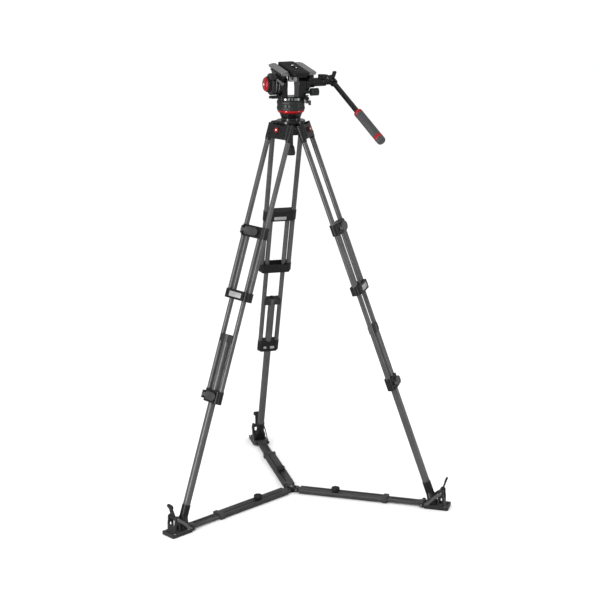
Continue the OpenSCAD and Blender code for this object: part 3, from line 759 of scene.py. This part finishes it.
def strap():
    """webbing that crosses the foot from the plate to the lever's bracket"""
    bm = bmesh.new()
    w, th = 12.0, 1.3
    path = [(560, -33, 12.6), (566, -32, 16), (576, -31, 26), (588, -30.5, 39), (600, -29.5, 50), (611, -28.5, 58), (618, -27.6, 63), (622, -27, 66)]
    rings = []
    for i, p in enumerate(path):
        a = Vector(path[max(0, i - 1)]); b = Vector(path[min(len(path) - 1, i + 1)])
        d = (b - a).normalized()
        side = Vector((0, 1, 0)).cross(d).normalized()
        P = Vector(p)
        rings.append([bm.verts.new(P + side * sx * w / 2 + Vector((0, sy * th / 2, 0))) for sx, sy in ((-1, -1), (1, -1), (1, 1), (-1, 1))])
    for a, b in zip(rings, rings[1:]):
        for i in range(4):
            bm.faces.new((a[i], a[(i + 1) % 4], b[(i + 1) % 4], b[i]))
    bm.faces.new(rings[0][::-1])
    bm.faces.new(rings[-1])
    bmesh.ops.recalc_face_normals(bm, faces=bm.faces)
    me = bpy.data.meshes.new("strap")
    bm.to_mesh(me)
    bm.free()
    me.transform(ARMF(0))
    other = me.copy()
    inv = ARMF(0).inverted()
    other.transform(ARMF(0) @ Matrix.Scale(-1, 4, (0, 1, 0)) @ inv)
    other.flip_normals()
    bm = bmesh.new()
    bm.from_mesh(me)
    bm.from_mesh(other)
    bm.to_mesh(me)
    bm.free()
    return evaluated(me, [("BEVEL", {"width": 0.0004, "segments": 2, "limit_method": "ANGLE"})])


three(strap, "foot_strap", WEB, "foot", None, ARMF)


def hub_pins():
    g = G()
    for k in range(3):
        M = Matrix.Rotation(AZ[k], 4, "Z")
        h = G()
        for sg in (-1, 1):
            prof = [(0, 0.9), (2.6, 0.9), (3.4, 0.2), (3.4, -1.2), (0, -1.2)]
            h.lathe([(r, sg * (16 + q)) for r, q in prof], c=(24, 0, 12), axis="y", n=28)
        me = h.mesh("x", M)
        g.bm.from_mesh(me)
    g.lathe([(0, 22.4), (5, 22.4), (6.2, 21.6), (6.4, 20)], n=32)
    return g.mesh("pins", MM)


put("hub_pin_ends", hub_pins(), STEEL, "hub")

# ---------------------------------------------------------------- bowl and levelling
put("bowl_with_lugs", cast("bowl_casting", 0.0010, 4, 0.35), CASTG, "bowl", "bowl_casting")


def ball():
    g = G()
    pts = [(0, 1491.2), (15.5, 1491.0)]
    for i in range(1, 13):
        a = rad(-65 + (65 + 12.5) * i / 12)
        pts.append((37.5 * math.cos(a), 1525 + 37.5 * math.sin(a)))
    pts += [(37.3, 1533.6), (39.4, 1540), (42.4, 1548), (44.4, 1552.4), (43.8, 1553.9), (0, 1553.9)]
    g.lathe(pts, n=96)
    g.lathe([(0, 1416), (5.2, 1416), (6, 1417), (6, 1493), (0, 1493)], n=32)
    return g.mesh("ball", MM)


put("half_ball_and_neck", ball(), CASTG, "levelling", "half_ball")


def base():
    g = G()
    g.lathe([(0, 1554), (43.6, 1554), (44, 1554.6), (44, 1564.4), (39.6, 1564.6), (39.6, 1601.2), (12, 1601.4), (12, 1610), (0, 1610)], n=96)
    return g.mesh("base", MM)


put("head_base_core", base(), CASTG, "levelling", "head_base")


def red_ring():
    g = G()
    g.lathe([(44.05, 1554.2), (47.2, 1554.0), (48.2, 1554.6), (51.2, 1558.6), (51.8, 1560.0), (51.8, 1563.6), (51.1, 1564.4), (44.05, 1564.5)], n=128, loop=True)
    return g.mesh("ring", MM)


put("red_ring", red_ring(), REDM, "levelling")


def tie_knob():
    g = G()
    def fn(a, r, h, i):
        return r - 1.5 * max(0.0, math.cos(8 * a)) ** 2 if 1389 < h < 1421 and r > 10 else r
    g.lathe([(6.1, 1388.4), (14.6, 1388.2), (15.6, 1389.4), (17, 1394), (16.6, 1400), (14.6, 1412), (13, 1420), (11, 1423.6), (9, 1426), (8.6, 1440), (8.6, 1462), (10, 1467), (13, 1469), (23.6, 1485.9), (24, 1486.4), (22.6, 1485.8), (18, 1483.5), (12.5, 1481.5), (6.2, 1480.2)], n=96, fn=fn, loop=True)
    return g.mesh("tie", MM)


put("tie_down_handle", tie_knob(), PLAST, "tie_down_knob", "tie_down_knob")


def drag_ring():
    g = G()
    def fn(a, r, h, i):
        if r < 46:
            return r
        if 1569 < h < 1575 or 1589 < h < 1597:
            return r - 0.5 * (0.5 + 0.5 * math.cos(72 * a))
        if 1576 < h < 1588.5:
            return r - 1.6 * max(0.0, math.cos(6 * a)) ** 8
        return r
    prof = [(40, 1565), (52.2, 1565), (52.8, 1566.8), (54, 1567.4), (54, 1569.5), (54, 1574.5), (53.4, 1575.6), (52.6, 1576.6), (52.4, 1582), (52.6, 1588), (53.4, 1588.9), (54, 1589.6), (54, 1596.4), (53.6, 1597.4), (52.6, 1598), (52, 1600.4), (40, 1600.5)]
    g.lathe(prof, n=432, fn=fn, loop=True)
    return g.mesh("drag", MM)


put("pan_drag_collar", drag_ring(), GREYM, "drag_ring", "pan_drag_ring")

# ---------------------------------------------------------------- pan body
put("pan_body_casting", cast("pan_body", 0.0010, 5, 0.35), CASTG, "pan", "pan_body")


def pan_trim():
    """bright machined segments round the base"""
    g = G()
    for a0, a1 in ((-156, -131), (-120, -116), (-106, -102), (-95, -70), (20, 60), (110, 150)):
        g.lathe([(49.6, 1603), (50.9, 1603.4), (51.1, 1604.2), (51.1, 1611.4), (50.7, 1612.2), (49.6, 1612.4)], n=16, start=rad(a0), sweep=rad(a1 - a0))
    return g.mesh("trim", MM)


put("pan_base_segments", pan_trim(), SILV, "pan")
put("pan_lock_handle", cast("pan_lock_lever", 0.0006, 4, 0.5), GREYM, "pan_lock", "pan_lock_lever")

# ---------------------------------------------------------------- tilting bridge
put("cradle_casting", cast("tilt_cradle", 0.0010, 5, 0.35), CASTG, "cradle", "tilt_cradle")
put("bridge_covers", edged("bridge_wedges", 0.0010, 3), SILV, "cradle", "bridge_wedges")
put("tilt_lock_handle", cast("tilt_lock_lever", 0.0005, 4, 0.5), SILV, "tilt_lock", "tilt_lock_lever")


def dial_mesh(x0, x1, r, teeth, depth, M=MM):
    g = G()
    def fn(a, rr, h, i):
        return rr - depth * (0.5 - 0.5 * math.cos(teeth * a)) ** 3 if rr > r - 3.5 and x0 + 1.4 < h < x1 - 1.4 else rr
    w = x1 - x0
    prof = [(7.2, x0), (r - 2.6, x0), (r - 1.2, x0 + 0.5), (r - 0.6, x0 + 1.3), (r, x0 + 2.2), (r, x0 + w / 2), (r, x1 - 2.2), (r - 0.6, x1 - 1.3), (r - 1.4, x1 - 0.4), (r - 3, x1), (7.2, x1)]
    g.lathe(prof, c=(0, 0, TZ), axis="x", n=288, fn=fn, loop=True)
    return g.mesh("dial", M)


put("tilt_drag_wheel", dial_mesh(-86, -72, 41.5, 26, 2.6), GREYM, "tilt_dial", "tilt_drag_dial")
put("counterbalance_rim", dial_mesh(-99, -86.6, 30, 32, 1.8), PLAST, "counterbalance", "counterbalance_dial")


def cap():
    g = G()
    g.lathe([(0, -108.6), (8.6, -108.5), (9.2, -109.2), (16, -109.0), (21.5, -107.6), (25, -105.2), (26.6, -102.4), (27, -100.4), (26.4, -99.2), (0, -99.1)], c=(0, 0, TZ), axis="x", n=96)
    return g.mesh("cap", MM)


def cap_centre():
    """a plain raised dot in the cap's shallow dish"""
    g = G()
    g.lathe([(0, -108.3), (4.6, -108.3), (4.6, -109.2), (4.0, -109.5), (0, -109.5)], c=(0, 0, TZ), axis="x", n=40)
    return g.mesh("cap_centre", MM)


put("counterbalance_cap", cap(), REDM, "counterbalance")
put("counterbalance_cap_centre", cap_centre(), MARK, "counterbalance")


def edge_glint_rings():
    """bright turned rings on the edges of the drag housing, standing in for the glints on those edges: painted
    highlights
    """
    g = G()
    for x, r in ((-71.3, 41.55), (-60.4, 42.1)):
        g.lathe([(r - 2.2, x - 0.05), (r - 0.5, x - 0.05), (r, x + 0.4), (r, x + 1.2), (r - 2.2, x + 1.2)], c=(0, 0, TZ), axis="x", n=128, loop=True)
    return g.mesh("edge_glint_rings", MM)


# silver rings that paint the highlight glints on the housing edges
put("drag_housing_glint_rings", edge_glint_rings(), SILV, "cradle")


def deck_end():
    """bright plate round the release button at the back of the deck"""
    g = G()
    g.box((-36.2, -78.9, DZ - 17.2), (-5.8, -77.6, DZ - 0.5), 0.5)
    c = G()
    c.lathe([(4.4, -90), (4.4, -70)], c=(-23, 0, DZ - 5.5), axis="y", n=48)
    cutter = bpy.data.objects.new("cut", c.mesh("cut", MM))
    scene.collection.objects.link(cutter)
    me = evaluated(g.mesh("deck_end", MM), [("BOOLEAN", {"operation": "DIFFERENCE", "object": cutter, "solver": "EXACT"})])
    bpy.data.objects.remove(cutter)
    me.transform(TILT @ MM.inverted())
    return me


put("deck_end_plate", deck_end(), BRIGHT, "cradle")

# ---------------------------------------------------------------- plate
put("sliding_plate_body", edged("sliding_plate", 0.0012, 3), PLATEC, "plate", "sliding_plate")
put("camera_screws", edged("camera_studs", 0.0004, 2), BRIGHT, "plate", "camera_studs")
put("plate_lock_wheel", edged("plate_lock_knob", 0.0005, 2), GREYM, "plate_knob", "plate_lock_knob")
put("release_button_cap", edged("release_button", 0.0006, 2), GREYM, "button", "release_button")
put("tilt_lock_wheel", edged("tilt_lock_knob", 0.0008, 2), GREYM, "tilt_knob", "tilt_lock_knob")

# ---------------------------------------------------------------- pan bar
put("bar_clamp_casting", cast("pan_bar_clamp", 0.0008, 5, 0.4), CASTG, "bar", "pan_bar_clamp")
put("clamp_wing", cast("clamp_lever", 0.0005, 4, 0.5), LEVER, "clamp", "clamp_lever")


def tube_along(pts, r, n=40):
    """a round tube swept along a smooth path of points in millimetres"""
    P = [Vector(p) for p in pts]
    path = []
    for i in range(len(P) - 1):
        p0, p1, p2, p3 = P[max(0, i - 1)], P[i], P[i + 1], P[min(len(P) - 1, i + 2)]
        for q in range(8):
            t = q / 8
            path.append(0.5 * (2 * p1 + (p2 - p0) * t + (2 * p0 - 5 * p1 + 4 * p2 - p3) * t * t + (3 * p1 - p0 - 3 * p2 + p3) * t ** 3))
    path.append(P[-1])
    bm = bmesh.new()
    rings = []
    side = None
    for i, p in enumerate(path):
        d = (path[min(len(path) - 1, i + 1)] - path[max(0, i - 1)]).normalized()
        side = (side - d * side.dot(d)).normalized() if side else d.orthogonal().normalized()
        up = d.cross(side)
        rings.append([bm.verts.new(p + side * r * math.cos(2 * math.pi * s / n) + up * r * math.sin(2 * math.pi * s / n)) for s in range(n)])
    for a, b in zip(rings, rings[1:]):
        for s in range(n):
            t = (s + 1) % n
            bm.faces.new((a[s], a[t], b[t], b[s]))
    bm.faces.new(rings[0][::-1])
    bm.faces.new(rings[-1])
    bmesh.ops.recalc_face_normals(bm, faces=bm.faces)
    me = bpy.data.meshes.new("tube")
    bm.to_mesh(me)
    bm.free()
    return me


def bar():
    B = BARM @ MM.inverted()
    far = [(BARM @ Vector((0, 0, t))) * 1000 for t in (14, 40, 90, 150, 207)]
    me = tube_along([(122, -9, 1684), (134, -12, 1684), (146, -17, 1680)] + [tuple(p) for p in far], 10.2)
    me.transform(MM)
    return me


def grip():
    g = G()
    L0, L1 = 208.0, 392.0
    prof = [(10.45, L0 + 6), (10.45, L0 + 1), (15.4, L0 + 1), (16.2, L0 + 1.8), (16.2, L0 + 14)]
    z = L0 + 15
    while z < L1 - 36:
        for dz, dr in ((0, 0), (0.6, 0.5), (1.7, 0.65), (2.8, 0.5), (3.4, 0), (3.8, -0.2)):
            prof.append((16.5 + dr, z + dz))
        z += 4.2
    prof += [(16.4, L1 - 31), (16.4, L1 - 16), (17.0, L1 - 15.4), (17.1, L1 - 6), (16.3, L1 - 2.4), (14.8, L1 - 0.8), (12.6, L1 - 0.2), (0, L1)]
    g.lathe(prof, n=72)
    return g.mesh("grip", BARM)


def grip_rings():
    g = G()
    for z0, z1, r in ((209.0, 222.4, 17.6), (361.5, 376.5, 17.6)):
        g.lathe([(15.8, z0), (r - 1.4, z0), (r - 0.4, z0 + 0.6), (r, z0 + 2.0), (r, z1 - 1.4), (r - 0.5, z1 - 0.5), (r - 1.2, z1), (15.8, z1)], n=72, loop=True)
    return g.mesh("rings", BARM)


put("pan_bar_tube", bar(), CASTG, "bar", "pan_bar_and_grip")
put("pan_bar_grip", grip(), GRIP, "bar")
put("pan_bar_rings", grip_rings(), REDM, "bar")

# ---------------------------------------------------------------- floor
fme = bpy.data.meshes.new("floor")
fbm = bmesh.new()
for x, y in ((-14, -14), (14, -14), (14, 14), (-14, 14)):
    fbm.verts.new((x, y, -0.0005))
fbm.faces.new(fbm.verts)
fbm.to_mesh(fme)
fbm.free()
floor = bpy.data.objects.new("floor", fme)
scene.collection.objects.link(floor)
fm = Nodes("floor_pale_dark_in_reflections")
fc = fm.ramp(fm.noise(0.7, 2), [(0.3, [0.93, 0.93, 0.93]), (0.7, [0.95, 0.95, 0.95])])
# glossy rays see the floor dark grey (0.20) while the camera sees it pale: painted dark reflections of the floor on the
# object's shiny faces
reflection_darkening_mask = fm.n("ShaderNodeLightPath").outputs["Is Glossy Ray"]
fm.out(fm.mix(reflection_darkening_mask, fc, [0.20, 0.20, 0.20]))
fm.b.inputs["Roughness"].default_value = 0.9
fm.b.inputs["Specular IOR Level"].default_value = 0.0
fme.materials.append(fm.m)
